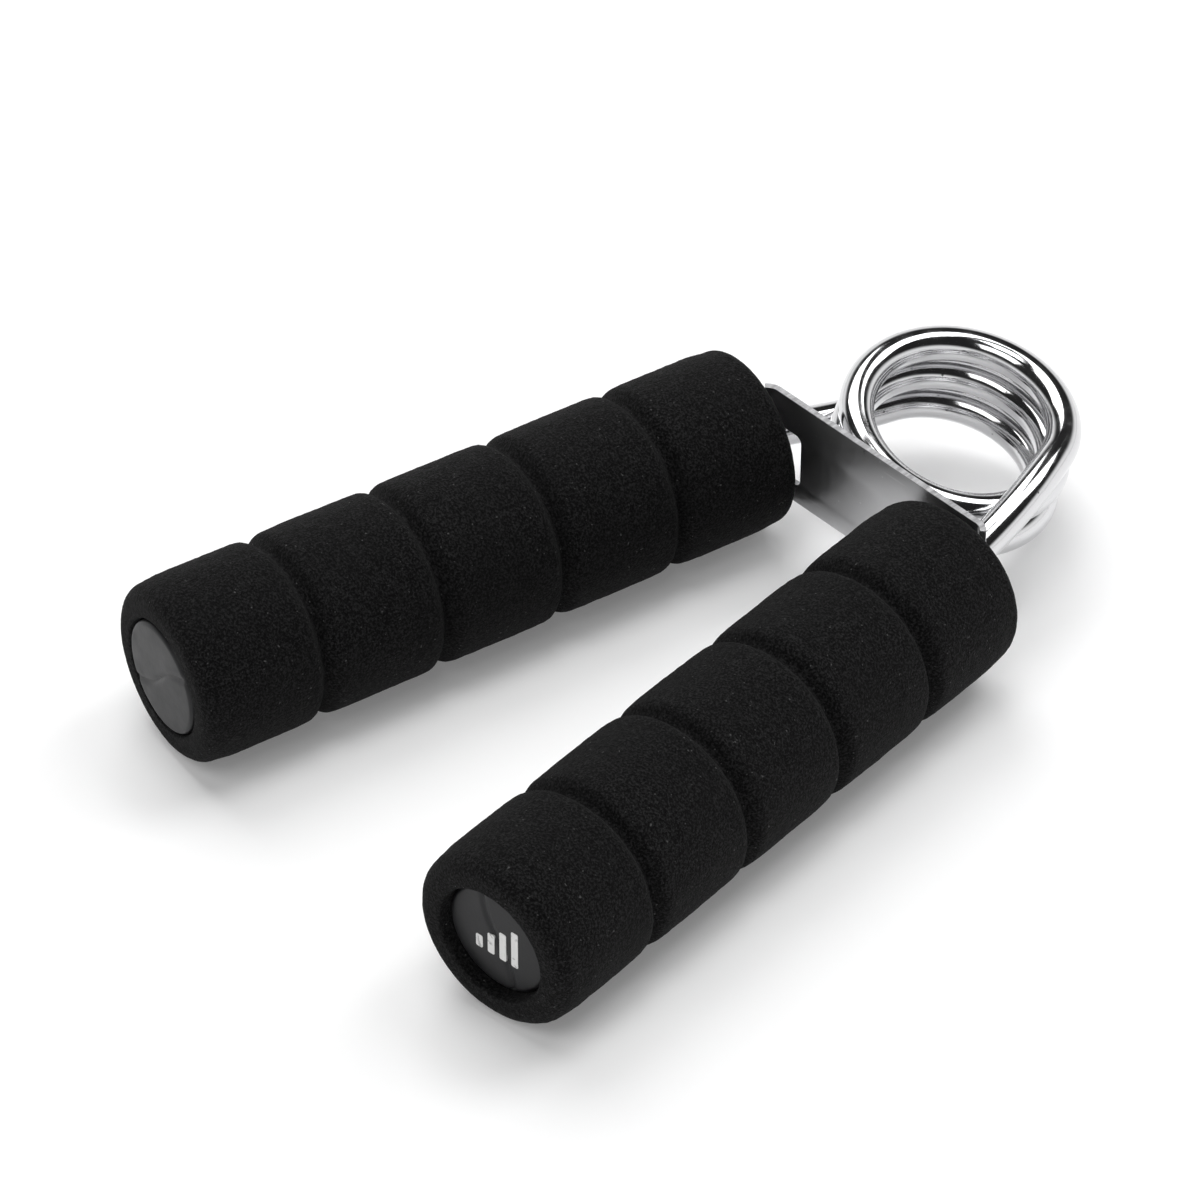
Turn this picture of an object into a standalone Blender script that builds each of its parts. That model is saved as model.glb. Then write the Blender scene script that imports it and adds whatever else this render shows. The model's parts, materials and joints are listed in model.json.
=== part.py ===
"""Hand grip strengthener: a torsion spring, a spreader bracket and two foam-covered handles.

Metres, +Z up. The grip lies on its two foam sleeves, so the ground is z = 0. The handles point
towards -Y and open outwards, and the spring's coil is at the +Y end. The origin is under the
middle of the whole object's box.
"""

import math

import bmesh
import bpy
from mathutils import Matrix, Vector

MM = 0.001

# Driving dimensions of the handles.
FOAM_RADIUS = 15.0 * MM
FOAM_LENGTH = 107.8 * MM
FOAM_BORE_RADIUS = 9.7 * MM
FOAM_CAP_END_ROUND = 2.7 * MM
FOAM_COIL_END_ROUND = 1.9 * MM
GROOVE_COUNT = 4
GROOVE_PITCH = 21.6 * MM
GROOVE_WIDTH = 3.0 * MM
GROOVE_DEPTH = 1.3 * MM
SHOULDER_DROP = 0.35 * MM
HANDLE_ANGLE = math.radians(8.31)
HANDLE_OFFSET = 23.2 * MM

# Driving dimensions of the spring.
WIRE_RADIUS = 2.85 * MM
COIL_RADIUS = 16.5 * MM
COIL_PITCH = 6.8 * MM
COIL_BEHIND_HANDLES = 22.4 * MM
COIL_HEIGHT = 15.4 * MM
COIL_LEAN_SIDEWAYS = math.radians(12.8)
COIL_LEAN_BACK = math.radians(4.8)
RIGHT_LEG_START = 0.407
LEFT_LEG_END = 5 * math.pi - 0.225
LEG_STRAIGHT_FROM = 9.0 * MM
LEG_BEND_REACH = 0.38
WIRE_DEPTH = 80.0 * MM

# Driving dimensions of the spreader bracket.
BRACKET_THICKNESS = 1.1 * MM
BRACKET_HEIGHT = 19.8 * MM
BRACKET_CENTRE_HEIGHT = 16.5 * MM
BRACKET_FACE_GAP = 0.7 * MM
BRACKET_END = {"left": 20.6 * MM, "right": 28.5 * MM}
BRACKET_BEND_RADIUS = 2.2 * MM
BRACKET_BEND_ANGLE = 52
BRACKET_YAW = math.radians(1.2)
BRACKET_ROLL = math.radians(1.0)
BRACKET_TILT = math.radians(1.3)
SLOT_INNER_END = 12.6 * MM
SLOT_HEIGHT = 9.8 * MM
SLOT_DROP = 1.5 * MM
SLOT_CORNER = 1.2 * MM

# Driving dimensions of the pieces inside the handles.
GAP = 0.3 * MM
CORE_WALL = 2.0 * MM
CORE_LENGTH = 94.0 * MM
CAP_HEAD = 2.6 * MM
CAP_EDGE = 0.7 * MM
CAP_STEM = 8.0 * MM
CAP_FACE = {"left": 0.3 * MM, "right": -1.8 * MM}
COLLAR_HEAD = 1.5 * MM
COLLAR_LENGTH = 14.0 * MM
TIP_BUSH_LENGTH = 12.0 * MM
TIP_BUSH_PAST_WIRE = 2.0 * MM

# Fineness of the turned and swept shapes.
FOAM_STEPS = 36
CORE_STEPS = 32
POINTS_PER_TURN = 30
LEG_POINTS = 15
END_SEGMENT = 0.02
TANGENT_STEP = 0.01
GROOVE_ARC = (150, 210)
ARC_POINTS = 4
BEND_POINTS = 5

CORE_RADIUS = FOAM_BORE_RADIUS - GAP
CORE_BORE_RADIUS = CORE_RADIUS - CORE_WALL
PLUG_RADIUS = CORE_BORE_RADIUS - GAP
WIRE_HOLE_RADIUS = WIRE_RADIUS + GAP

# The box reaches from the outer corners of the cap ends to the back of the leaning coil.
COIL_REACH = 19.85 * MM
CAP_CORNER_RADIUS = 12.76 * MM
COIL_BACK = COIL_BEHIND_HANDLES + COIL_REACH
CAP_END = FOAM_LENGTH * math.cos(HANDLE_ANGLE) + CAP_CORNER_RADIUS * math.sin(HANDLE_ANGLE)
COIL_END_Y = (CAP_END - COIL_BACK) / 2

PIVOT = Vector((0, COIL_END_Y + COIL_BEHIND_HANDLES, COIL_HEIGHT))

SIDES = {"left": -1, "right": 1}

COLOURS = {
    "foam": ((0.012, 0.012, 0.013, 1), 0.95, 0.0),
    "cap": ((0.045, 0.046, 0.048, 1), 0.45, 0.0),
    "core": ((0.18, 0.18, 0.19, 1), 0.5, 0.0),
    "bush": ((0.3, 0.3, 0.31, 1), 0.5, 0.0),
    "chrome": ((0.82, 0.82, 0.83, 1), 0.08, 1.0),
    "bracket": ((0.6, 0.6, 0.61, 1), 0.15, 1.0),
}


def clear_scene():
    for obj in list(bpy.data.objects):
        bpy.data.objects.remove(obj)


def new_collection(name):
    collection = bpy.data.collections.new(name)
    bpy.context.scene.collection.children.link(collection)
    return collection


def material_for(node, kind):
    colour, roughness, metallic = COLOURS[kind]
    material = bpy.data.materials.new(node + "_material")
    material.use_nodes = True
    shader = material.node_tree.nodes["Principled BSDF"]
    shader.inputs["Base Color"].default_value = colour
    shader.inputs["Roughness"].default_value = roughness
    shader.inputs["Metallic"].default_value = metallic
    return material


def add_object(name, data, collection, kind=None):
    obj = bpy.data.objects.new(name, data)
    collection.objects.link(obj)
    if kind:
        data.materials.append(material_for(name, kind))
    return obj


def arc(centre, radius, start, end, count):
    """Points (across, along) of an arc, with the angles in degrees from the first axis."""
    points = []
    for i in range(count + 1):
        angle = math.radians(start + (end - start) * i / count)
        points.append((centre[0] + radius * math.cos(angle), centre[1] + radius * math.sin(angle)))
    return points


def turned(name, profile, kind, collection, steps, closed):
    """A solid of revolution about local Z from (radius, height) points that run down the outside."""
    mesh = bpy.data.meshes.new(name)
    points = [(radius, 0, height) for radius, height in profile]
    edges = [(i, i + 1) for i in range(len(points) - 1)]
    if closed:
        edges.append((len(points) - 1, 0))
    mesh.from_pydata(points, edges, [])
    obj = add_object(name, mesh, collection, kind)
    screw = obj.modifiers.new("Turn", "SCREW")
    screw.axis = "Z"
    screw.steps = steps
    screw.render_steps = steps
    screw.use_merge_vertices = True
    screw.merge_threshold = 0.00001
    screw.use_smooth_shade = True
    return obj


# --- The spring -----------------------------------------------------------------------------


def coil_matrix():
    """Places the coil's own axes: its local Z is the leaning coil axis."""
    lean = Matrix.Rotation(COIL_LEAN_SIDEWAYS, 4, "Y") @ Matrix.Rotation(-COIL_LEAN_BACK, 4, "X")
    return Matrix.Translation(PIVOT) @ lean


def helix_point(angle):
    """A point of the wire's centre line in the coil's own axes. It sinks as the angle grows."""
    middle = (RIGHT_LEG_START + LEFT_LEG_END) / 2
    height = -COIL_PITCH * (angle - middle) / (2 * math.pi)
    return Vector((COIL_RADIUS * math.cos(angle), COIL_RADIUS * math.sin(angle), height))


def wire_curve(name, points, collection):
    curve = bpy.data.curves.new(name, "CURVE")
    curve.dimensions = "3D"
    curve.bevel_depth = WIRE_RADIUS
    curve.bevel_resolution = 2
    curve.use_fill_caps = True
    spline = curve.splines.new("POLY")
    spline.points.add(len(points) - 1)
    for spline_point, point in zip(spline.points, points):
        spline_point.co = (*point, 1)
        spline_point.radius = 1
    return add_object(name, curve, collection, "chrome")


def make_coil(collection):
    trim = GAP / 2 / COIL_RADIUS
    start = RIGHT_LEG_START + trim
    end = LEFT_LEG_END - trim
    count = round((end - start) / (2 * math.pi) * POINTS_PER_TURN)
    angles = [start + (end - start) * i / count for i in range(count + 1)]
    angles[1:1] = [start + END_SEGMENT]
    angles[-1:] = [end - END_SEGMENT, end]
    points = [helix_point(angle) for angle in angles]
    coil = wire_curve("spring_coil", points, collection)
    coil.location = PIVOT
    coil.rotation_euler = (-COIL_LEAN_BACK, COIL_LEAN_SIDEWAYS, 0)
    return coil


def handle_point(side, depth):
    """A point on a handle's axis, at this depth from the sleeve's coil end."""
    sign = SIDES[side]
    direction = Vector((sign * math.sin(HANDLE_ANGLE), -math.cos(HANDLE_ANGLE), 0))
    return Vector((sign * HANDLE_OFFSET, COIL_END_Y, FOAM_RADIUS)) + direction * depth


def leg_points(side):
    """The wire's centre line from the coil into the handle: one smooth bend, then straight."""
    trim = GAP / 2 / COIL_RADIUS
    if side == "right":
        near, beyond = RIGHT_LEG_START - trim, RIGHT_LEG_START - trim - TANGENT_STEP
    else:
        near, beyond = LEFT_LEG_END + trim, LEFT_LEG_END + trim + TANGENT_STEP
    start = coil_matrix() @ helix_point(near)
    leaving = (coil_matrix() @ helix_point(beyond) - start).normalized()
    finish = handle_point(side, LEG_STRAIGHT_FROM)
    entering = (handle_point(side, WIRE_DEPTH) - finish).normalized()
    reach = (finish - start).length * LEG_BEND_REACH
    first = start + leaving * reach
    second = finish - entering * reach
    points = []
    for i in [0, END_SEGMENT] + list(range(1, LEG_POINTS + 1)):
        t = i / LEG_POINTS
        s = 1 - t
        points.append(s**3 * start + 3 * s * s * t * first + 3 * s * t * t * second + t**3 * finish)
    points.append(handle_point(side, WIRE_DEPTH))
    return points


def make_leg(side, arm, collection):
    points = [point - PIVOT for point in leg_points(side)]
    leg = wire_curve(side + "_spring_leg", points, collection)
    leg.parent = arm
    return leg


# --- The bracket ----------------------------------------------------------------------------


def bracket_path():
    """The sheet's outer face in plan, from the right end's bend to the left end's."""
    ends = {}
    for side, reach in BRACKET_END.items():
        centre = (reach - BRACKET_BEND_RADIUS, -BRACKET_BEND_RADIUS)
        ends[side] = arc(centre, BRACKET_BEND_RADIUS, 90 - BRACKET_BEND_ANGLE, 90, BEND_POINTS)
    return ends["right"] + [(-x, y) for x, y in reversed(ends["left"])]


def make_bracket(collection, cutters):
    """A bent sheet whose forked ends reach past the legs. Its face towards the coil is y = 0."""
    mesh = bpy.data.meshes.new("spreader_bracket")
    path = bracket_path()
    low, high = -BRACKET_HEIGHT / 2, BRACKET_HEIGHT / 2
    points = [(x, y, low) for x, y in path] + [(x, y, high) for x, y in path]
    count = len(path)
    faces = [(i + 1, i, i + count, i + count + 1) for i in range(count - 1)]
    mesh.from_pydata(points, [], faces)
    bracket = add_object("spreader_bracket", mesh, collection, "bracket")
    bracket.location = (0, COIL_END_Y + BRACKET_FACE_GAP + BRACKET_THICKNESS, BRACKET_CENTRE_HEIGHT)
    bracket.rotation_euler = (-BRACKET_TILT, -BRACKET_ROLL, BRACKET_YAW)
    shell = bracket.modifiers.new("Sheet", "SOLIDIFY")
    shell.thickness = BRACKET_THICKNESS
    shell.offset = -1
    shell.use_even_offset = True
    for side, sign in SIDES.items():
        cutter = make_slot_cutter(side, sign, cutters)
        cutter.parent = bracket
        slot = bracket.modifiers.new(side + " slot", "BOOLEAN")
        slot.operation = "DIFFERENCE"
        slot.object = cutter
    return bracket


def make_slot_cutter(side, sign, cutters):
    mesh = bpy.data.meshes.new(side + "_slot_cutter")
    work = bmesh.new()
    bmesh.ops.create_cube(work, size=1)
    length = BRACKET_END["right"]
    size = Matrix.Diagonal((length, length, SLOT_HEIGHT, 1))
    bmesh.ops.transform(work, matrix=size, verts=work.verts)
    along_y = [e for e in work.edges if abs(e.verts[0].co.y - e.verts[1].co.y) > length / 2]
    bmesh.ops.bevel(work, geom=along_y, offset=SLOT_CORNER, segments=3, affect="EDGES", profile=0.5)
    work.to_mesh(mesh)
    work.free()
    cutter = add_object(side + "_slot_cutter", mesh, cutters)
    cutter.location = (sign * (SLOT_INNER_END + length / 2), 0, -SLOT_DROP)
    cutter.hide_render = True
    cutter.display_type = "WIRE"
    return cutter


# --- The handles ----------------------------------------------------------------------------


def sleeve_profile():
    """The foam sleeve's section: (radius, height), with height 0 at the coil end."""
    top = FOAM_LENGTH
    round_top = FOAM_CAP_END_ROUND
    round_low = FOAM_COIL_END_ROUND
    outside = FOAM_RADIUS - SHOULDER_DROP
    points = [(FOAM_BORE_RADIUS, top)]
    points += arc((outside - round_top, top - round_top), round_top, 90, 0, ARC_POINTS)
    crest = top - GROOVE_PITCH / 2
    for i in range(GROOVE_COUNT):
        groove = top - GROOVE_PITCH * (i + 1)
        points.append((FOAM_RADIUS, crest))
        points.append((outside, groove + GROOVE_WIDTH / 2))
        points += arc((outside, groove), GROOVE_DEPTH, *GROOVE_ARC, 2)
        points.append((outside, groove - GROOVE_WIDTH / 2))
        crest = groove - GROOVE_PITCH / 2
    points.append((FOAM_RADIUS, crest))
    points += arc((outside - round_low, round_low), round_low, 0, -90, ARC_POINTS)
    points.append((FOAM_BORE_RADIUS, 0))
    return points


def core_start(side):
    return FOAM_LENGTH + CAP_FACE[side] - CAP_HEAD - GAP - CORE_LENGTH


def core_profile(side):
    low = core_start(side)
    high = low + CORE_LENGTH
    return [(CORE_BORE_RADIUS, high), (CORE_RADIUS, high), (CORE_RADIUS, low), (CORE_BORE_RADIUS, low)]


def cap_profile(side):
    """The end cap: a flat head with an eased edge and a stem that plugs the core tube."""
    face = FOAM_LENGTH + CAP_FACE[side]
    under = face - CAP_HEAD
    edge = arc((CORE_RADIUS - CAP_EDGE, face - CAP_EDGE), CAP_EDGE, 90, 0, ARC_POINTS)
    stem = [(PLUG_RADIUS, under), (PLUG_RADIUS, under - CAP_STEM), (0, under - CAP_STEM)]
    return [(0, face)] + edge + [(CORE_RADIUS, under)] + stem


def collar_profile(side):
    """The bush at the coil end: a head against the core tube's end and a plug inside it."""
    seat = core_start(side) - GAP
    face = seat - COLLAR_HEAD
    deep = seat + COLLAR_LENGTH
    hole = WIRE_HOLE_RADIUS
    plug = [(hole, deep), (PLUG_RADIUS, deep), (PLUG_RADIUS, seat)]
    return plug + [(CORE_RADIUS, seat), (CORE_RADIUS, face), (hole, face)]


def tip_bush_profile():
    high = WIRE_DEPTH + TIP_BUSH_PAST_WIRE
    low = high - TIP_BUSH_LENGTH
    return [(WIRE_HOLE_RADIUS, high), (PLUG_RADIUS, high), (PLUG_RADIUS, low), (WIRE_HOLE_RADIUS, low)]


def make_handle(side, arm, collection):
    pieces = [
        turned(side + "_foam_sleeve", sleeve_profile(), "foam", collection, FOAM_STEPS, True),
        turned(side + "_core_tube", core_profile(side), "core", collection, CORE_STEPS, True),
        turned(side + "_end_cap", cap_profile(side), "cap", collection, CORE_STEPS, False),
        turned(side + "_collar_bush", collar_profile(side), "bush", collection, CORE_STEPS, True),
        turned(side + "_tip_bush", tip_bush_profile(), "bush", collection, CORE_STEPS, True),
    ]
    for piece in pieces:
        piece.parent = arm
        piece.location = handle_point(side, 0) - PIVOT
        piece.rotation_euler = (math.radians(90), 0, SIDES[side] * HANDLE_ANGLE)


def make_arm(side, collection):
    """An empty on the arm's joint axis, which is upright through the coil's centre."""
    arm = add_object(side + "_arm", None, collection)
    arm.location = PIVOT
    return arm


def main():
    clear_scene()
    parts = new_collection("hand_grip_strengthener")
    cutters = new_collection("cutters")
    make_coil(parts)
    make_bracket(parts, cutters)
    for side in SIDES:
        arm = make_arm(side, parts)
        make_leg(side, arm, parts)
        make_handle(side, arm, parts)


main()
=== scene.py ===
"""The looks of the hand grip strengthener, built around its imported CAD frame.

Lengths are in metres in the frame's own axes: +Z up, +Y from the handles' free ends to the coil.
The handles' own axis runs from the coil end of a sleeve (height 0) to its cap end.
"""

import json
import math

import bmesh
import bpy
import numpy as np
from mathutils import Matrix, Vector, noise


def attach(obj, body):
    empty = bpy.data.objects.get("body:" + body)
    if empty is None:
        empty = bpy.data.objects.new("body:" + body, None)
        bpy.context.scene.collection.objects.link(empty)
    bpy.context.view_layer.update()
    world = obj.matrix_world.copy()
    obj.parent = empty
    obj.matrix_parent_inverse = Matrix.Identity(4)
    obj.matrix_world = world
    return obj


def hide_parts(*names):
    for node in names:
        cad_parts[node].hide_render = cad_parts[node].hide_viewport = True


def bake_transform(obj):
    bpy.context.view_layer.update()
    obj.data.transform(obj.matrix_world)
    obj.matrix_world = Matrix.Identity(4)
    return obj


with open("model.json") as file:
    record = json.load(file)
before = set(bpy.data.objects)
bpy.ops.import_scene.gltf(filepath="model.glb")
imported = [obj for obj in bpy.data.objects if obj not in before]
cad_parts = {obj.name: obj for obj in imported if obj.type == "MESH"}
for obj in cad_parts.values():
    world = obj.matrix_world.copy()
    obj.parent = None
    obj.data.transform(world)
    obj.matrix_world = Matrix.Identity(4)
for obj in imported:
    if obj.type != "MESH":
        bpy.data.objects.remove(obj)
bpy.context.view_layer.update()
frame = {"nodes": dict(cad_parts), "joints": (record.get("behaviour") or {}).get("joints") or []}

MM = 0.001

# The handles, as the CAD has them.
FOAM_RADIUS = 15.0 * MM
FOAM_LENGTH = 107.8 * MM
FOAM_BORE_RADIUS = 9.7 * MM
HANDLE_ANGLE = math.radians(8.31)
HANDLE_OFFSET = 23.2 * MM
COIL_BEHIND_HANDLES = 22.4 * MM
GROOVE_COUNT = 4
GROOVE_PITCH = 21.6 * MM
CAP_RADIUS = 9.4 * MM
CAP_FACE = {"left": 0.3 * MM, "right": -1.8 * MM}

# The spring, as the CAD has it.
WIRE_RADIUS = 2.85 * MM
COIL_RADIUS = 16.5 * MM
COIL_PITCH = 6.8 * MM
COIL_LEAN_SIDEWAYS = math.radians(12.8)
COIL_LEAN_BACK = math.radians(4.8)
RIGHT_LEG_START = 0.407
LEFT_LEG_END = 5 * math.pi - 0.225
LEG_ANGLE = {"left": LEFT_LEG_END, "right": RIGHT_LEG_START}
COIL_MIDDLE = (RIGHT_LEG_START + LEFT_LEG_END) / 2
LEG_STRAIGHT_FROM = 9.0 * MM
LEG_BEND_REACH = 0.38
WIRE_DEPTH = 80.0 * MM

# The bracket, as the CAD has it.
BRACKET_THICKNESS = 1.1 * MM
BRACKET_HEIGHT = 19.8 * MM
BRACKET_CENTRE_HEIGHT = 16.5 * MM
BRACKET_FACE_GAP = 0.7 * MM
BRACKET_END = {"left": 20.6 * MM, "right": 28.5 * MM}
BRACKET_BEND_RADIUS = 2.2 * MM
BRACKET_BEND_ANGLE = 52
BRACKET_YAW = math.radians(1.2)
BRACKET_ROLL = math.radians(1.0)
BRACKET_TILT = math.radians(1.3)
BRACKET_EASE = 0.12 * MM
SLOT_INNER_END = 12.6 * MM
SLOT_HEIGHT = 9.8 * MM
SLOT_DROP = 1.5 * MM
SLOT_CORNER = 1.2 * MM

# The foam's shape, at a finer grain than the CAD's.
FOAM_SECTORS = 168
FOAM_STEP = 0.45 * MM
SEGMENT_CROWN = 0.3 * MM
SEGMENT_CROWN_POWER = 5
GROOVE_DEPTH = 2.1 * MM
GROOVE_WIDTH = 1.25 * MM
GROOVE_SHARPNESS = 2.3
CAP_END_ROUND = 2.9 * MM
COIL_END_ROUND = 1.9 * MM
BORE_LIP = 0.5 * MM
END_RINGS = 6
BORE_RINGS = 12
END_EASE = 3.0 * MM
FOAM_LUMP_SIZE = 2.2 * MM
FOAM_LUMP_HEIGHT = 0.10 * MM
# The size of each layer of lumps, in FOAM_LUMP_SIZE, and its share of the height.
FOAM_LUMP_LAYERS = ((3.0, 1.0), (1.0, 0.5), (0.35, 0.7))
HIGHEST_LUMP = 0.8
FLOOR_CLEARANCE = 0.02 * MM

# How finely the wire is made.
WIRE_SECTORS = 40
WIRE_STEP = 0.6 * MM
TANGENT_STEP = 0.01

SIDES = {"left": -1, "right": 1}
PIVOT = Vector(frame["joints"][0]["pos_m"])
COIL_END_Y = PIVOT.y - COIL_BEHIND_HANDLES


# --- Small helpers --------------------------------------------------------------------------


def link(obj):
    bpy.context.scene.collection.objects.link(obj)
    return obj


def add_mesh(name, points, faces, smooth=True):
    """A new object with this mesh, in the scene."""
    mesh = bpy.data.meshes.new(name)
    mesh.from_pydata([tuple(p) for p in points], [], faces)
    mesh.polygons.foreach_set("use_smooth", [smooth] * len(mesh.polygons))
    mesh.update()
    return link(bpy.data.objects.new(name, mesh))


def handle_point(side, depth):
    """A point on a handle's axis, at this depth from the sleeve's coil end."""
    sign = SIDES[side]
    direction = Vector((sign * math.sin(HANDLE_ANGLE), -math.cos(HANDLE_ANGLE), 0))
    return Vector((sign * HANDLE_OFFSET, COIL_END_Y, FOAM_RADIUS)) + direction * depth


def handle_matrix(side):
    """Takes a handle's own axes, with Z from its coil end to its cap end, into the frame's."""
    turn = Matrix.Rotation(SIDES[side] * HANDLE_ANGLE, 4, "Z") @ Matrix.Rotation(math.pi / 2, 4, "X")
    return Matrix.Translation(handle_point(side, 0)) @ turn


def arc(centre, radius, start, end, count):
    """Points of an arc, with the angles in degrees."""
    points = []
    for i in range(count + 1):
        angle = math.radians(start + (end - start) * i / count)
        points.append((centre[0] + radius * math.cos(angle), centre[1] + radius * math.sin(angle)))
    return points


def ring_faces(rings, sectors, wrap):
    """Quads between neighbouring rings of points, the last ring joined to the first if wrap."""
    faces = []
    for i in range(rings if wrap else rings - 1):
        a = i * sectors
        b = (i + 1) % rings * sectors
        for j in range(sectors):
            k = (j + 1) % sectors
            faces.append((a + j, b + j, b + k, a + k))
    return faces


def turned(name, profile, sectors, closed):
    """A solid of revolution about local Z, from (radius, height) points down the outside."""
    points = []
    for radius, height in profile:
        for j in range(sectors):
            angle = 2 * math.pi * j / sectors
            points.append((radius * math.cos(angle), radius * math.sin(angle), height))
    return add_mesh(name, points, ring_faces(len(profile), sectors, closed))


def rounded_box(name, size, axis, corner, segments, place):
    """A box of this size whose four edges along one axis ("y" or "z") are rounded."""
    work = bmesh.new()
    bmesh.ops.create_cube(work, size=1)
    bmesh.ops.transform(work, matrix=Matrix.Diagonal((*size, 1)), verts=work.verts)
    edges = []
    for edge in work.edges:
        ends = [getattr(vertex.co, axis) for vertex in edge.verts]
        if abs(ends[0] - ends[1]) > 0.1 * MM:
            edges.append(edge)
    bmesh.ops.bevel(work, geom=edges, offset=corner, segments=segments, affect="EDGES", profile=0.5)
    bmesh.ops.transform(work, matrix=place, verts=work.verts)
    mesh = bpy.data.meshes.new(name)
    work.to_mesh(mesh)
    work.free()
    return link(bpy.data.objects.new(name, mesh))


def smooth_by_angle(obj, degrees):
    """Keeps edges sharper than this crisp and shades the rest smooth."""
    work = bmesh.new()
    work.from_mesh(obj.data)
    for edge in work.edges:
        if len(edge.link_faces) == 2:
            edge.smooth = edge.calc_face_angle() < math.radians(degrees)
    work.to_mesh(obj.data)
    work.free()


def bake_modifiers(obj):
    """Replaces the object's mesh with what its modifiers make of it."""
    graph = bpy.context.evaluated_depsgraph_get()
    mesh = bpy.data.meshes.new_from_object(obj.evaluated_get(graph))
    obj.modifiers.clear()
    obj.data = mesh


# --- Materials ------------------------------------------------------------------------------

# A Mix node has sockets of the same name for each type, so the colour ones go by number.
MIX_COLOUR_INPUTS = (6, 7)
MIX_COLOUR_OUTPUT = 2


def set_range(node, low, high, to_low, to_high):
    """Sets what a Map Range node maps from and to."""
    for key, number in (("From Min", low), ("From Max", high), ("To Min", to_low), ("To Max", to_high)):
        node.inputs[key].default_value = number


class Nodes:
    """Adds and joins the nodes of one material."""

    def __init__(self, name, colour, roughness, metallic=0.0):
        self.material = bpy.data.materials.new(name)
        self.material.use_nodes = True
        self.tree = self.material.node_tree
        self.shader = self.tree.nodes["Principled BSDF"]
        self.shader.inputs["Base Color"].default_value = (*colour, 1)
        self.shader.inputs["Roughness"].default_value = roughness
        self.shader.inputs["Metallic"].default_value = metallic
        self.place = self.add("ShaderNodeTexCoord").outputs["Object"]

    def add(self, kind, **settings):
        """A new node of this kind, with these settings."""
        node = self.tree.nodes.new(kind)
        for key, value in settings.items():
            setattr(node, key, value)
        return node

    def join(self, start, end):
        self.tree.links.new(start, end)

    def stretched(self, scale):
        """The object's own place, scaled along each axis."""
        node = self.add("ShaderNodeMapping")
        node.inputs["Scale"].default_value = scale
        self.join(self.place, node.inputs["Vector"])
        return node.outputs["Vector"]

    def noise(self, scale, detail=3.0, roughness=0.55, place=None):
        """Noise of this many lumps a metre, at the object's own place unless told another."""
        node = self.add("ShaderNodeTexNoise")
        node.inputs["Scale"].default_value = scale
        node.inputs["Detail"].default_value = detail
        node.inputs["Roughness"].default_value = roughness
        self.join(place or self.place, node.inputs["Vector"])
        return node.outputs["Fac"]

    def cells(self, scale):
        """The distance to the nearest of points scattered at this many a metre."""
        node = self.add("ShaderNodeTexVoronoi")
        node.inputs["Scale"].default_value = scale
        self.join(self.place, node.inputs["Vector"])
        return node.outputs["Distance"]

    def span(self, value, low, high, to_low, to_high):
        """Maps low..high to to_low..to_high, held at both ends."""
        node = self.add("ShaderNodeMapRange")
        set_range(node, low, high, to_low, to_high)
        self.join(value, node.inputs["Value"])
        return node.outputs["Result"]

    def maths(self, operation, a, b):
        node = self.add("ShaderNodeMath", operation=operation)
        for socket, value in zip(node.inputs, (a, b)):
            if isinstance(value, (int, float)):
                socket.default_value = value
            else:
                self.join(value, socket)
        return node.outputs["Value"]

    def mix(self, fac, a, b):
        """Colour a where fac is 0 and colour b where it is 1."""
        node = self.add("ShaderNodeMix", data_type="RGBA")
        self.join(fac, node.inputs["Factor"])
        for socket, colour in zip(MIX_COLOUR_INPUTS, (a, b)):
            if isinstance(colour, tuple):
                node.inputs[socket].default_value = (*colour, 1)
            else:
                self.join(colour, node.inputs[socket])
        return node.outputs[MIX_COLOUR_OUTPUT]

    def bump(self, height, strength, distance, under=None):
        """A normal tilted by this height, over another bump if one is given."""
        node = self.add("ShaderNodeBump")
        node.inputs["Strength"].default_value = strength
        node.inputs["Distance"].default_value = distance
        self.join(height, node.inputs["Height"])
        if under:
            self.join(under, node.inputs["Normal"])
        return node.outputs["Normal"]

    def to(self, name, value):
        """Feeds the value to this input of the material's shader."""
        self.join(value, self.shader.inputs[name])


def foam_material():
    """Matt black closed-cell foam with a fine suede-like skin and pale specks of dust."""
    n = Nodes("foam", (0.006, 0.006, 0.0063), 0.95)
    n.shader.inputs["Specular IOR Level"].default_value = 0.10
    n.shader.inputs["Sheen Weight"].default_value = 0.02
    n.shader.inputs["Sheen Roughness"].default_value = 0.5
    fine = n.noise(2700, 3, 0.65)
    tone = n.span(fine, 0.44, 0.68, 0.0, 1.0)
    base = n.mix(tone, (0.0008, 0.0008, 0.0009), (0.023, 0.023, 0.0233))
    wide = n.span(n.noise(75, 2), 0.35, 0.65, 0.0, 0.2)
    base = n.mix(wide, base, (0.006, 0.006, 0.0062))
    specks = n.span(n.noise(1700, 1, 0.4), 0.735, 0.80, 0.0, 1.0)
    n.to("Base Color", n.mix(specks, base, (0.07, 0.07, 0.07)))
    n.to("Roughness", n.span(fine, 0.3, 0.7, 0.88, 1.0))
    rough = n.bump(fine, 0.9, 0.35 * MM)
    n.to("Normal", n.bump(n.noise(620, 3), 0.6, 0.35 * MM, rough))
    return n.material


def chrome_material():
    """Bright plating with a faint draw grain, a few pits and slightly uneven gloss."""
    n = Nodes("chrome", (0.68, 0.68, 0.69), 0.1, 1.0)
    haze = n.noise(420, 3)
    n.to("Roughness", n.span(haze, 0.35, 0.7, 0.08, 0.16))
    pits = n.span(n.cells(330), 0.05, 0.09, 0.0, 1.0)
    n.to("Base Color", n.mix(pits, (0.22, 0.22, 0.22), (0.68, 0.68, 0.69)))
    n.to("Normal", n.bump(n.noise(160, 2), 0.10, 0.08 * MM))
    return n.material


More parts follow.
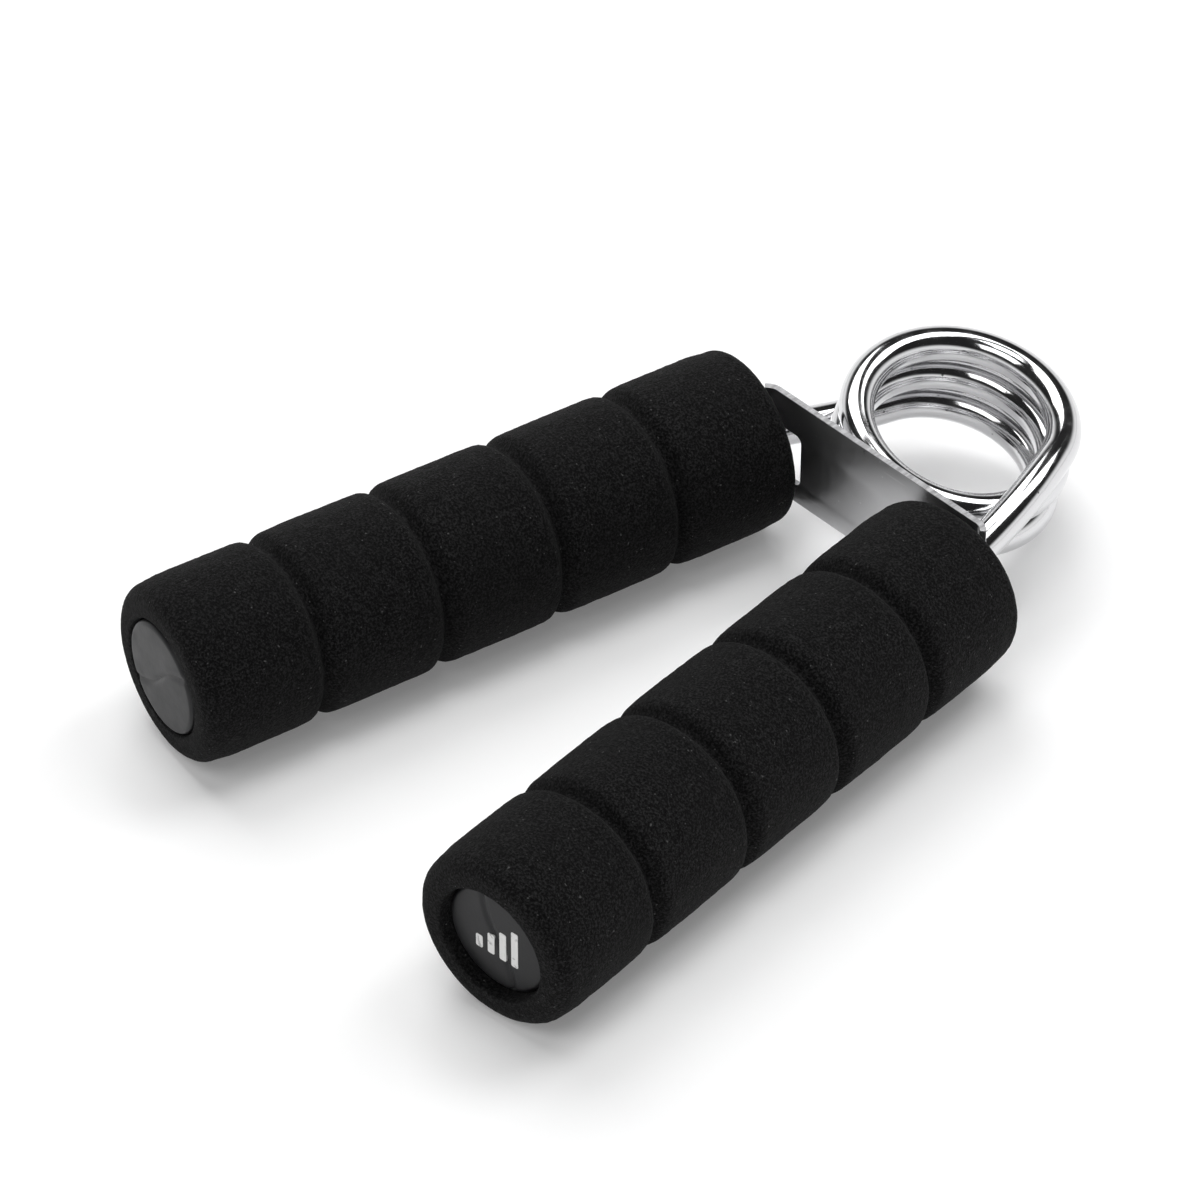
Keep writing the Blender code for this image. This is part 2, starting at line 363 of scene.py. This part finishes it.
def bracket_material():
    """Plated sheet with fine scratches, rubbed specks and a rolled grain."""
    n = Nodes("bracket_plating", (0.62, 0.62, 0.63), 0.13, 1.0)
    grain = n.noise(500, 4, 0.7)
    scratch = n.noise(50, 2, 0.5, n.stretched((1, 1, 22)))
    marks = n.span(scratch, 0.70, 0.76, 0.0, 0.4)
    specks = n.span(n.cells(420), 0.03, 0.09, 1.0, 0.0)
    worn = n.maths("MAXIMUM", marks, n.maths("MULTIPLY", specks, 0.8))
    n.to("Roughness", n.maths("ADD", n.span(grain, 0.3, 0.7, 0.27, 0.36), n.maths("MULTIPLY", worn, 0.3)))
    n.to("Base Color", n.mix(worn, (0.60, 0.60, 0.61), (0.85, 0.85, 0.85)))
    n.to("Normal", n.bump(grain, 0.08, 0.05 * MM, n.bump(worn, 0.2, 0.03 * MM)))
    return n.material


def cut_edge_material():
    """The bracket's sheared edge: pale, duller and finely ribbed across the sheet."""
    n = Nodes("bracket_cut_edge", (0.42, 0.42, 0.43), 0.55, 0.2)
    ribs = n.noise(1500, 3, 0.7, n.stretched((1.0, 0.12, 0.12)))
    n.to("Roughness", n.span(ribs, 0.3, 0.7, 0.45, 0.65))
    n.to("Base Color", n.mix(n.span(ribs, 0.35, 0.65, 0, 1), (0.26, 0.26, 0.265), (0.52, 0.52, 0.53)))
    n.to("Normal", n.bump(ribs, 0.6, 0.10 * MM))
    return n.material


def plastic_material(name, colour, roughness, grain):
    """Moulded plastic with a fine grain, faint rub marks and slightly uneven gloss."""
    n = Nodes(name, colour, roughness)
    n.shader.inputs["Specular IOR Level"].default_value = 0.25
    fine = n.noise(1800, 3, 0.6)
    blotch = n.noise(220, 3)
    lighter = tuple(min(1.0, 1.25 * c + 0.004) for c in colour)
    n.to("Base Color", n.mix(n.span(blotch, 0.35, 0.7, 0, 1), colour, lighter))
    n.to("Roughness", n.span(blotch, 0.3, 0.7, roughness - 0.06, roughness + 0.08))
    scratch = n.noise(160, 2, 0.5, n.stretched((1, 14, 1)))
    n.to("Normal", n.bump(scratch, 0.10, 0.04 * MM, n.bump(fine, grain, 0.06 * MM)))
    return n.material


def ink_material():
    """White printing ink, a little broken up."""
    n = Nodes("white_ink", (0.72, 0.72, 0.71), 0.5)
    worn = n.span(n.noise(900, 3), 0.30, 0.42, 0.0, 1.0)
    n.to("Base Color", n.mix(worn, (0.35, 0.35, 0.35), (0.74, 0.74, 0.73)))
    n.to("Normal", n.bump(n.noise(1600, 2), 0.2, 0.03 * MM))
    return n.material


def floor_material():
    """White paper that glows a little, so that it stays white under soft light."""
    n = Nodes("paper", (0.86, 0.86, 0.865), 0.9)
    n.shader.inputs["Specular IOR Level"].default_value = 0.1
    n.shader.inputs["Emission Color"].default_value = (1, 1, 1, 1)
    n.shader.inputs["Emission Strength"].default_value = 0.16
    tone = n.span(n.noise(6, 2), 0.3, 0.7, 0, 1)
    n.to("Base Color", n.mix(tone, (0.86, 0.86, 0.865), (0.87, 0.87, 0.87)))
    return n.material


def paint(obj, *materials):
    """Gives the object these materials and no others."""
    obj.data.materials.clear()
    for material in materials:
        obj.data.materials.append(material)


# --- Foam sleeves ---------------------------------------------------------------------------


def foam_radius(height):
    """The sleeve's outer radius away from its ends: crowned segments and sharp V grooves."""
    from_cap = FOAM_LENGTH - height
    index = min(GROOVE_COUNT, int(from_cap / GROOVE_PITCH))
    middle = (index + 0.5) * GROOVE_PITCH
    across = abs(from_cap - middle) / (GROOVE_PITCH / 2)
    radius = FOAM_RADIUS - SEGMENT_CROWN * min(1.0, across) ** SEGMENT_CROWN_POWER
    for i in range(1, GROOVE_COUNT + 1):
        away = abs(from_cap - i * GROOVE_PITCH) / GROOVE_WIDTH
        radius -= (GROOVE_DEPTH - SEGMENT_CROWN) * math.exp(-(away**GROOVE_SHARPNESS))
    return radius


def foam_profile():
    """(radius, height) down the outside from the cap end, then back up the bore."""
    top = FOAM_LENGTH
    edge = FOAM_RADIUS - SEGMENT_CROWN
    mouth = FOAM_BORE_RADIUS + BORE_LIP
    profile = arc((mouth, top - BORE_LIP), BORE_LIP, 180, 90, 4)
    for i in range(1, END_RINGS):
        radius = mouth + (edge - CAP_END_ROUND - mouth) * i / END_RINGS
        profile.append((radius, top))
    profile += arc((edge - CAP_END_ROUND, top - CAP_END_ROUND), CAP_END_ROUND, 90, 0, 12)
    low, high = COIL_END_ROUND, top - CAP_END_ROUND
    count = round((high - low) / FOAM_STEP)
    for i in range(1, count):
        height = high + (low - high) * i / count
        ease = min(1.0, min(high - height, height - low) / END_EASE)
        profile.append((edge + (foam_radius(height) - edge) * ease, height))
    profile += arc((edge - COIL_END_ROUND, COIL_END_ROUND), COIL_END_ROUND, 0, -90, 10)
    for i in range(1, END_RINGS):
        radius = edge - COIL_END_ROUND + (mouth - edge + COIL_END_ROUND) * i / END_RINGS
        profile.append((radius, 0))
    profile += arc((mouth, BORE_LIP), BORE_LIP, 270, 180, 4)
    for i in range(1, BORE_RINGS):
        profile.append((FOAM_BORE_RADIUS, BORE_LIP + (top - 2 * BORE_LIP) * i / BORE_RINGS))
    return profile


def lumpy(obj, seed):
    """Moves the foam's outside in and out a little, as moulded foam does."""
    offset = Vector((seed * 3.1, seed * 7.7, seed * 1.3))
    for vertex in obj.data.vertices:
        out = Vector((vertex.co.x, vertex.co.y, 0))
        if out.length < FOAM_BORE_RADIUS + BORE_LIP / 2:
            continue
        size = 0
        for scale, share in FOAM_LUMP_LAYERS:
            size += share * noise.noise(vertex.co / (scale * FOAM_LUMP_SIZE) + offset)
        vertex.co += out.normalized() * min(size, HIGHEST_LUMP) * FOAM_LUMP_HEIGHT


def make_sleeve(side, material):
    """The foam sleeve, which rests on the floor."""
    sleeve = turned(side + "_sleeve_foam", foam_profile(), FOAM_SECTORS, True)
    lumpy(sleeve, 2 + SIDES[side])
    sleeve.data.transform(handle_matrix(side))
    paint(sleeve, material)
    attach(sleeve, side + "_arm")
    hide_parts(side + "_foam_sleeve")
    # The lumps may not reach below the floor.
    for vertex in sleeve.data.vertices:
        vertex.co.z = max(vertex.co.z, FLOOR_CLEARANCE)


# --- End caps -------------------------------------------------------------------------------

CAP_SECTORS = 120
CAP_RINGS = 22
CAP_EDGE = 0.8 * MM
CAP_HEAD = 2.6 * MM
CAP_DOME = 0.12 * MM
CAP_STEM_RADIUS = 6.8 * MM
CAP_STEM_LENGTH = 8.0 * MM
CAP_MIDDLE_RADIUS = 0.02 * MM

# The moulding line across a cap's face, and its direction on each cap in degrees.
FLOW_LINE_DEPTH = 0.32 * MM
FLOW_LINE_WIDTH = 0.45 * MM
FLOW_LINE_SWAY = 0.6 * MM
FLOW_LINE_WAVE = 2.6 * MM
FLOW_LINE_TURN = {"left": 35, "right": 110}
FACE_DEPTH = 0.4 * MM


def cap_profile():
    """A shallow domed disc with an eased rim, a flat back and a stem that plugs the core."""
    flat = CAP_RADIUS - CAP_EDGE
    back = -CAP_HEAD - CAP_STEM_LENGTH
    profile = []
    for i in range(CAP_RINGS):
        radius = flat * i / CAP_RINGS
        profile.append((max(radius, CAP_MIDDLE_RADIUS), -CAP_DOME * (radius / flat) ** 2))
    profile += arc((flat, -CAP_DOME - CAP_EDGE), CAP_EDGE, 90, 0, 8)
    profile += [(CAP_RADIUS, -CAP_HEAD), (CAP_STEM_RADIUS, -CAP_HEAD)]
    profile += [(CAP_STEM_RADIUS, back), (CAP_MIDDLE_RADIUS, back)]
    return profile


def flow_line(obj, turn):
    """Presses a faint wavy moulding line into the cap's face."""
    along = Vector((math.cos(turn), math.sin(turn), 0))
    across = Vector((-math.sin(turn), math.cos(turn), 0))
    for vertex in obj.data.vertices:
        if vertex.co.z < -FACE_DEPTH:
            continue
        sway = FLOW_LINE_SWAY * math.sin(vertex.co.dot(along) / FLOW_LINE_WAVE)
        away = (vertex.co.dot(across) - sway) / FLOW_LINE_WIDTH
        vertex.co.z -= FLOW_LINE_DEPTH * math.exp(-away * away)


def make_cap(side, material):
    """Makes the cap and returns the matrix that puts its face in place."""
    cap = turned(side + "_cap", cap_profile(), CAP_SECTORS, False)
    flow_line(cap, math.radians(FLOW_LINE_TURN[side]))
    smooth_by_angle(cap, 40)
    place = handle_matrix(side) @ Matrix.Translation((0, 0, FOAM_LENGTH + CAP_FACE[side]))
    cap.data.transform(place)
    paint(cap, material)
    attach(cap, side + "_arm")
    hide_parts(side + "_end_cap")
    return place


# The strength mark is generic: rising bars, printed in white.
MARK_BARS = 4
MARK_PITCH = 2.3 * MM
MARK_BAR_WIDTH = 1.3 * MM
MARK_FIRST = 2.4 * MM
MARK_GROWTH = 1.5 * MM
MARK_THICKNESS = 0.3 * MM
MARK_CORNER = 0.3 * MM
MARK_PROUD = 0.05 * MM


def make_mark(place, material):
    """Four flat printed bars, each longer than the last, on the right cap."""
    tallest = MARK_FIRST + MARK_GROWTH * (MARK_BARS - 1)
    for i in range(MARK_BARS):
        height = MARK_FIRST + MARK_GROWTH * i
        across = (i - (MARK_BARS - 1) / 2) * MARK_PITCH
        shift = Matrix.Translation((across, (height - tallest) / 2, MARK_PROUD - MARK_THICKNESS / 2))
        size = (MARK_BAR_WIDTH, height, MARK_THICKNESS)
        bar = rounded_box(f"strength_bar_{i + 1}", size, "z", MARK_CORNER, 4, place @ shift)
        paint(bar, material)
        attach(bar, "right_arm")


# --- The spring -----------------------------------------------------------------------------


def coil_matrix():
    """Places the coil's own axes: its local Z is the leaning coil axis."""
    lean = Matrix.Rotation(COIL_LEAN_SIDEWAYS, 4, "Y") @ Matrix.Rotation(-COIL_LEAN_BACK, 4, "X")
    return Matrix.Translation(PIVOT) @ lean


def helix_point(angle):
    """A point of the wire's centre line. It sinks along the coil's axis as the angle grows."""
    height = -COIL_PITCH * (angle - COIL_MIDDLE) / (2 * math.pi)
    local = Vector((COIL_RADIUS * math.cos(angle), COIL_RADIUS * math.sin(angle), height))
    return coil_matrix() @ local


def heading(angle, sense):
    """The wire's direction at this angle, with sense 1 for growing angles and -1 for falling."""
    return (helix_point(angle + TANGENT_STEP) - helix_point(angle - TANGENT_STEP)) * sense


def helix_points(start, end):
    count = round(abs(end - start) * COIL_RADIUS / WIRE_STEP)
    return [helix_point(start + (end - start) * i / count) for i in range(count + 1)]


def leg_points(side):
    """From the coil into the handle: one smooth bend, then straight."""
    start = helix_point(LEG_ANGLE[side])
    leaving = heading(LEG_ANGLE[side], -SIDES[side]).normalized()
    finish = handle_point(side, LEG_STRAIGHT_FROM)
    entering = (handle_point(side, WIRE_DEPTH) - finish).normalized()
    reach = (finish - start).length * LEG_BEND_REACH
    first = start + leaving * reach
    second = finish - entering * reach
    count = round((finish - start).length / WIRE_STEP)
    points = []
    for i in range(count + 1):
        t = i / count
        s = 1 - t
        points.append(s**3 * start + 3 * s * s * t * first + 3 * s * t * t * second + t**3 * finish)
    points.append(handle_point(side, WIRE_DEPTH - WIRE_RADIUS))
    return points


def tube(name, points, cap_last, first, last=None):
    """A round wire along the points, with an attribute that holds the outward direction.

    first and last are the wire's directions at its two ends.
    """
    rings = []
    outward = []
    normal = Vector((0, 0, 1))
    for i, point in enumerate(points):
        ahead = points[min(i + 1, len(points) - 1)]
        behind = points[max(i - 1, 0)]
        along = (ahead - behind).normalized()
        if i == 0:
            along = first.normalized()
        if last is not None and i == len(points) - 1:
            along = last.normalized()
        normal = (normal - along * normal.dot(along)).normalized()
        side = along.cross(normal)
        for j in range(WIRE_SECTORS):
            angle = 2 * math.pi * j / WIRE_SECTORS
            outward.append(normal * math.cos(angle) + side * math.sin(angle))
            rings.append(point + outward[-1] * WIRE_RADIUS)
    faces = [tuple(reversed(f)) for f in ring_faces(len(points), WIRE_SECTORS, False)]
    obj = add_mesh(name, rings, faces)
    attribute = obj.data.attributes.new("outward", "FLOAT_VECTOR", "POINT")
    attribute.data.foreach_set("vector", np.ravel(outward))
    if cap_last:
        work = bmesh.new()
        work.from_mesh(obj.data)
        work.verts.ensure_lookup_table()
        end_ring = [work.verts[len(rings) - WIRE_SECTORS + j] for j in range(WIRE_SECTORS)]
        work.faces.new(end_ring).smooth = False
        bmesh.ops.recalc_face_normals(work, faces=work.faces)
        work.to_mesh(obj.data)
        work.free()
    return obj


def half_above(coil, name, up):
    """The part of the coil on this side of the pivot, with the whole wire's shading kept."""
    work = bmesh.new()
    work.from_mesh(coil.data)
    everything = work.verts[:] + work.edges[:] + work.faces[:]
    bmesh.ops.bisect_plane(work, geom=everything, plane_co=PIVOT, plane_no=up, clear_inner=True)
    mesh = bpy.data.meshes.new(name)
    work.to_mesh(mesh)
    work.free()
    normals = [Vector(item.vector).normalized() for item in mesh.attributes["outward"].data]
    mesh.normals_split_custom_set_from_vertices(normals)
    return link(bpy.data.objects.new(name, mesh))


def make_spring(material):
    """The coil in two halves and the two legs, each leg on its own arm.

    The halves meet in the plane through the pivot and square to the coil's axis.
    """
    axis = (coil_matrix() @ Vector((0, 0, 1)) - PIVOT).normalized()
    directions = (heading(RIGHT_LEG_START, 1), heading(LEFT_LEG_END, 1))
    coil = tube("coil", helix_points(RIGHT_LEG_START, LEFT_LEG_END), False, *directions)
    for side, sign in SIDES.items():
        up = axis * sign
        half = half_above(coil, side + "_half_coil", up)
        paint(half, material)
        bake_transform(half)
        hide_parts("spring_coil")
        leg = tube(side + "_leg_wire", leg_points(side), True, heading(LEG_ANGLE[side], -sign))
        paint(leg, material)
        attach(leg, side + "_arm")
        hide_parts(side + "_spring_leg")
    bpy.data.objects.remove(coil)


# --- The bracket ----------------------------------------------------------------------------


def bracket_path():
    """The sheet's outer face in plan, from the right end's bend to the left end's."""
    ends = {}
    for side, reach in BRACKET_END.items():
        centre = (reach - BRACKET_BEND_RADIUS, -BRACKET_BEND_RADIUS)
        ends[side] = arc(centre, BRACKET_BEND_RADIUS, 90 - BRACKET_BEND_ANGLE, 90, 12)
    return ends["right"] + [(-x, y) for x, y in reversed(ends["left"])]


def slot_cutter(sign):
    """The box that cuts one slot, which is open at the bracket's end."""
    length = BRACKET_END["right"]
    shift = Matrix.Translation((sign * (SLOT_INNER_END + length / 2), 0, -SLOT_DROP))
    return rounded_box("cutter", (length, length, SLOT_HEIGHT), "y", SLOT_CORNER, 8, shift)


def make_bracket(face_material, edge_material):
    """The bent sheet. Its flat lies in its own XZ plane, and its top and bottom are cut edges."""
    path = bracket_path()
    low, high = -BRACKET_HEIGHT / 2, BRACKET_HEIGHT / 2
    points = [(x, y, low) for x, y in path] + [(x, y, high) for x, y in path]
    count = len(path)
    faces = [(i + 1, i, i + count, i + count + 1) for i in range(count - 1)]
    bracket = add_mesh("bracket_sheet", points, faces, smooth=False)
    shell = bracket.modifiers.new("Sheet", "SOLIDIFY")
    shell.thickness = BRACKET_THICKNESS
    shell.offset = -1
    shell.use_even_offset = True
    cutters = [slot_cutter(sign) for sign in SIDES.values()]
    for cutter in cutters:
        cut = bracket.modifiers.new("Slot", "BOOLEAN")
        cut.operation = "DIFFERENCE"
        cut.object = cutter
    ease = bracket.modifiers.new("Eased edges", "BEVEL")
    ease.width = BRACKET_EASE
    ease.segments = 3
    ease.limit_method = "ANGLE"
    ease.angle_limit = math.radians(50)
    bake_modifiers(bracket)
    for cutter in cutters:
        bpy.data.objects.remove(cutter)
    paint(bracket, face_material, edge_material)
    for polygon in bracket.data.polygons:
        polygon.use_smooth = True
        if abs(polygon.normal.z) > 0.9:
            polygon.material_index = 1
    smooth_by_angle(bracket, 35)
    bracket.location = (0, COIL_END_Y + BRACKET_FACE_GAP + BRACKET_THICKNESS, BRACKET_CENTRE_HEIGHT)
    bracket.rotation_euler = (-BRACKET_TILT, -BRACKET_ROLL, BRACKET_YAW)
    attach(bracket, "spring_centre")
    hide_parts("spreader_bracket")


# --- The studio -----------------------------------------------------------------------------

CAMERA_AZIMUTH = 49.05
CAMERA_ELEVATION = 41.38
CAMERA_DISTANCE = 1.026
CAMERA_LENS = 198.6
CAMERA_TARGET_FROM_PIVOT = Vector((-8.445 * MM, -66.555 * MM, -0.4 * MM))

LIGHT_TARGET_FROM_PIVOT = Vector((0, -50 * MM, 0))
FLOOR_REACH = 6.0

# The sines of the elevations between which the studio's pale walls give way to its ceiling.
WALL_TOP = (0.18, 0.44)
WALL_STRENGTH = 1.0
CEILING_STRENGTH = 0.02


def direction(azimuth, elevation):
    """A unit vector towards this azimuth (0 is -Y, 90 is +X) and elevation, in degrees."""
    a, e = math.radians(azimuth), math.radians(elevation)
    return Vector((math.sin(a) * math.cos(e), -math.cos(a) * math.cos(e), math.sin(e)))


def make_camera():
    """A long lens that looks down on the grip from the right of its free ends."""
    camera = bpy.data.cameras.new("camera")
    camera.lens = CAMERA_LENS
    camera.sensor_width = 36
    camera.clip_end = 20
    obj = link(bpy.data.objects.new("camera", camera))
    target = PIVOT + CAMERA_TARGET_FROM_PIVOT
    back = direction(CAMERA_AZIMUTH, CAMERA_ELEVATION)
    obj.location = target + back * CAMERA_DISTANCE
    obj.rotation_euler = back.to_track_quat("Z", "Y").to_euler()
    bpy.context.scene.camera = obj


def softbox(name, azimuth, elevation, distance, width, height, power):
    """A rectangular light that faces the middle of the grip."""
    light = bpy.data.lights.new(name, "AREA")
    light.shape = "RECTANGLE"
    light.size = width
    light.size_y = height
    light.energy = power
    obj = link(bpy.data.objects.new(name, light))
    back = direction(azimuth, elevation)
    obj.location = PIVOT + LIGHT_TARGET_FROM_PIVOT + back * distance
    obj.rotation_euler = back.to_track_quat("Z", "Y").to_euler()


def light_the_world(tree):
    """Pale walls near the horizon under a dark ceiling, so that chrome shows both."""
    towards = tree.nodes.new("ShaderNodeTexCoord")
    parts = tree.nodes.new("ShaderNodeSeparateXYZ")
    height = tree.nodes.new("ShaderNodeMapRange")
    height.interpolation_type = "SMOOTHSTEP"
    set_range(height, *WALL_TOP, WALL_STRENGTH, CEILING_STRENGTH)
    tree.links.new(towards.outputs["Generated"], parts.inputs["Vector"])
    tree.links.new(parts.outputs["Z"], height.inputs["Value"])
    tree.links.new(height.outputs["Result"], tree.nodes["Background"].inputs["Strength"])
    tree.nodes["Background"].inputs["Color"].default_value = (1, 1, 1, 1)


def make_studio():
    """The softboxes, the world and the paper floor, shown without a film curve."""
    softbox("left", azimuth=252, elevation=56, distance=1.2, width=0.85, height=0.75, power=8.0)
    softbox("right", azimuth=170, elevation=56, distance=1.2, width=0.55, height=0.7, power=5.0)
    softbox("front", azimuth=20, elevation=55, distance=1.4, width=0.9, height=0.6, power=5.0)
    softbox("top", azimuth=0, elevation=88, distance=1.5, width=0.5, height=0.5, power=3.5)
    world = bpy.data.worlds.new("world")
    world.use_nodes = True
    light_the_world(world.node_tree)
    bpy.context.scene.world = world
    bpy.context.scene.view_settings.view_transform = "Standard"
    corners = [(x * FLOOR_REACH, y * FLOOR_REACH, 0) for x, y in ((-1, -1), (1, -1), (1, 1), (-1, 1))]
    floor = add_mesh("floor", corners, [(0, 1, 2, 3)], smooth=False)
    paint(floor, floor_material())


# --- Everything -----------------------------------------------------------------------------


def main():
    foam = foam_material()
    cap = plastic_material("cap_plastic", (0.010, 0.010, 0.011), 0.42, 0.25)
    core = plastic_material("core_plastic", (0.16, 0.16, 0.17), 0.5, 0.3)
    bush = plastic_material("bush_plastic", (0.07, 0.07, 0.075), 0.5, 0.3)
    ink = ink_material()
    for side in SIDES:
        make_sleeve(side, foam)
        place = make_cap(side, cap)
        if side == "right":
            make_mark(place, ink)
        paint(frame["nodes"][side + "_core_tube"], core)
        paint(frame["nodes"][side + "_collar_bush"], bush)
        paint(frame["nodes"][side + "_tip_bush"], bush)
    make_spring(chrome_material())
    make_bracket(bracket_material(), cut_edge_material())
    make_studio()
    make_camera()


main()
